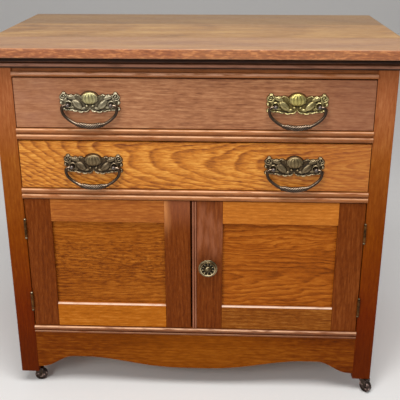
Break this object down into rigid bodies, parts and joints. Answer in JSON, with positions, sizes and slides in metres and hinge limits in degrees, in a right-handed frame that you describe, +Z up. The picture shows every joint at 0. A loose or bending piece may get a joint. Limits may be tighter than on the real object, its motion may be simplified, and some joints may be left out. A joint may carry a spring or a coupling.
{
  "type": "washstand",
  "caption": "Oak washstand on casters with drawers on bail pulls over a cupboard with panelled doors and a turn knob.",
  "frame": {"origin": "on the floor, under the middle of the top", "axes": "+X to the right as seen from the front, +Y to the back, +Z up"},
  "size_m": [0.84, 0.496, 0.772],
  "materials": {
    "top_oak": "aged varnish over oak, satin",
    "frame_oak": "aged brown varnish over oak",
    "cornice_oak": "dark aged varnish over oak",
    "upper_drawer_oak": "aged varnish over fine-grained oak",
    "lower_drawer_oak": "golden varnish over oak with strong grain",
    "door_oak": "reddish brown varnish over oak",
    "panel_oak": "golden brown varnish over oak",
    "pale_wood": "bare secondary wood, aged",
    "antique_brass": "stamped brass, worn and tarnished",
    "dark_bronze": "cast brass with a dark patina",
    "dark_iron": "dark aged iron",
    "steel_screws": "plain steel, dull"
  },
  "bodies": {
    "case": {"top_boards": "top_oak", "cornice_moulding": "cornice_oak", "front_posts": "frame_oak", "rear_posts": "frame_oak", "side_rails": "frame_oak", "side_panels": "panel_oak", "top_rail": "frame_oak", "drawer_divider": "frame_oak", "door_head_rail": "frame_oak", "bottom_rail": "frame_oak", "apron": "frame_oak", "back_rails": "pale_wood", "back_boards": "pale_wood", "cupboard_floor": "pale_wood", "drawer_runners": "pale_wood", "drawer_guides": "pale_wood", "top_cleats": "pale_wood", "stop_blocks": "pale_wood", "glue_blocks": "pale_wood", "top_screws": "steel_screws", "caster_sockets": "antique_brass", "case_hinge_leaves": "antique_brass", "hinge_pins": "antique_brass", "bolt_strike": "antique_brass"},
    "upper_drawer": {"upper_drawer_front": "upper_drawer_oak", "upper_drawer_sides_and_back": "pale_wood", "upper_drawer_bottom": "pale_wood", "upper_pull_plates": "antique_brass", "upper_pull_posts": "dark_bronze"},
    "lower_drawer": {"lower_drawer_front": "lower_drawer_oak", "lower_drawer_sides_and_back": "pale_wood", "lower_drawer_bottom": "pale_wood", "lower_pull_plates": "antique_brass", "lower_pull_posts": "dark_bronze"},
    "upper_left_bail": {"upper_left_bail": "dark_bronze"},
    "upper_right_bail": {"upper_right_bail": "dark_bronze"},
    "lower_left_bail": {"lower_left_bail": "dark_bronze"},
    "lower_right_bail": {"lower_right_bail": "dark_bronze"},
    "left_door": {"left_door_stiles": "door_oak", "left_door_rails": "door_oak", "left_door_panel": "panel_oak", "left_door_hinge_leaves": "antique_brass", "bolt_barrel": "dark_iron"},
    "left_door_bolt": {"bolt_rod": "dark_iron"},
    "right_door": {"right_door_stiles": "door_oak", "right_door_rails": "door_oak", "right_door_panel": "panel_oak", "right_door_hinge_leaves": "antique_brass", "right_door_bead": "door_oak", "knob_rose": "antique_brass"},
    "latch": {"door_knob": "antique_brass", "latch_tongue": "dark_iron"},
    "front_left_caster": {"front_left_fork": "dark_iron"},
    "front_left_wheel": {"front_left_wheel": "dark_iron"},
    "front_right_caster": {"front_right_fork": "dark_iron"},
    "front_right_wheel": {"front_right_wheel": "dark_iron"},
    "rear_left_caster": {"rear_left_fork": "dark_iron"},
    "rear_left_wheel": {"rear_left_wheel": "dark_iron"},
    "rear_right_caster": {"rear_right_fork": "dark_iron"},
    "rear_right_wheel": {"rear_right_wheel": "dark_iron"}
  },
  "joints": [
    {"name": "upper_drawer_slide", "type": "slide", "parent": "case", "child": "upper_drawer", "axis": [0, -1, 0], "range_m": [0, 0.3]},
    {"name": "lower_drawer_slide", "type": "slide", "parent": "case", "child": "lower_drawer", "axis": [0, -1, 0], "range_m": [0, 0.3]},
    {"name": "left_door_hinge", "type": "hinge", "parent": "case", "child": "left_door", "pos_m": [-0.35125, -0.222, 0.306], "axis": [0, 0, -1], "range_deg": [0, 165]},
    {"name": "right_door_hinge", "type": "hinge", "parent": "case", "child": "right_door", "pos_m": [0.35125, -0.222, 0.306], "axis": [0, 0, 1], "range_deg": [0, 165]},
    {"name": "latch_turn", "type": "hinge", "parent": "right_door", "child": "latch", "pos_m": [0.0302, -0.218, 0.31], "axis": [0, -1, 0], "range_deg": [0, 90]},
    {"name": "left_door_bolt_slide", "type": "slide", "parent": "left_door", "child": "left_door_bolt", "axis": [0, 0, 1], "range_m": [0, 0.012]},
    {"name": "upper_left_bail_lift", "type": "hinge", "parent": "upper_drawer", "child": "upper_left_bail", "pos_m": [-0.2015, -0.23, 0.658], "axis": [-1, 0, 0], "range_deg": [0, 100]},
    {"name": "upper_right_bail_lift", "type": "hinge", "parent": "upper_drawer", "child": "upper_right_bail", "pos_m": [0.2015, -0.23, 0.658], "axis": [-1, 0, 0], "range_deg": [0, 100]},
    {"name": "lower_left_bail_lift", "type": "hinge", "parent": "lower_drawer", "child": "lower_left_bail", "pos_m": [-0.2015, -0.23, 0.53], "axis": [-1, 0, 0], "range_deg": [0, 100]},
    {"name": "lower_right_bail_lift", "type": "hinge", "parent": "lower_drawer", "child": "lower_right_bail", "pos_m": [0.2015, -0.23, 0.53], "axis": [-1, 0, 0], "range_deg": [0, 100]},
    {"name": "front_left_swivel", "type": "hinge", "parent": "case", "child": "front_left_caster", "pos_m": [-0.3715, -0.201, 0.017], "axis": [0, 0, 1], "continuous": true},
    {"name": "front_left_roll", "type": "hinge", "parent": "front_left_caster", "child": "front_left_wheel", "pos_m": [-0.35314, -0.19875, 0.0135], "axis": [-0.1219, 0.9925, 0], "continuous": true},
    {"name": "front_right_swivel", "type": "hinge", "parent": "case", "child": "front_right_caster", "pos_m": [0.3715, -0.201, 0.017], "axis": [0, 0, 1], "continuous": true},
    {"name": "front_right_roll", "type": "hinge", "parent": "front_right_caster", "child": "front_right_wheel", "pos_m": [0.38364, -0.21496, 0.0135], "axis": [0.7547, 0.6561, 0], "continuous": true},
    {"name": "rear_left_swivel", "type": "hinge", "parent": "case", "child": "rear_left_caster", "pos_m": [-0.3715, 0.22, 0.017], "axis": [0, 0, 1], "continuous": true},
    {"name": "rear_left_roll", "type": "hinge", "parent": "rear_left_caster", "child": "rear_left_wheel", "pos_m": [-0.38827, 0.21218, 0.0135], "axis": [0.4226, -0.9063, 0], "continuous": true},
    {"name": "rear_right_swivel", "type": "hinge", "parent": "case", "child": "rear_right_caster", "pos_m": [0.3715, 0.22, 0.017], "axis": [0, 0, 1], "continuous": true},
    {"name": "rear_right_roll", "type": "hinge", "parent": "rear_right_caster", "child": "rear_right_wheel", "pos_m": [0.38525, 0.20762, 0.0135], "axis": [0.6691, 0.7431, 0], "continuous": true}
  ]
}
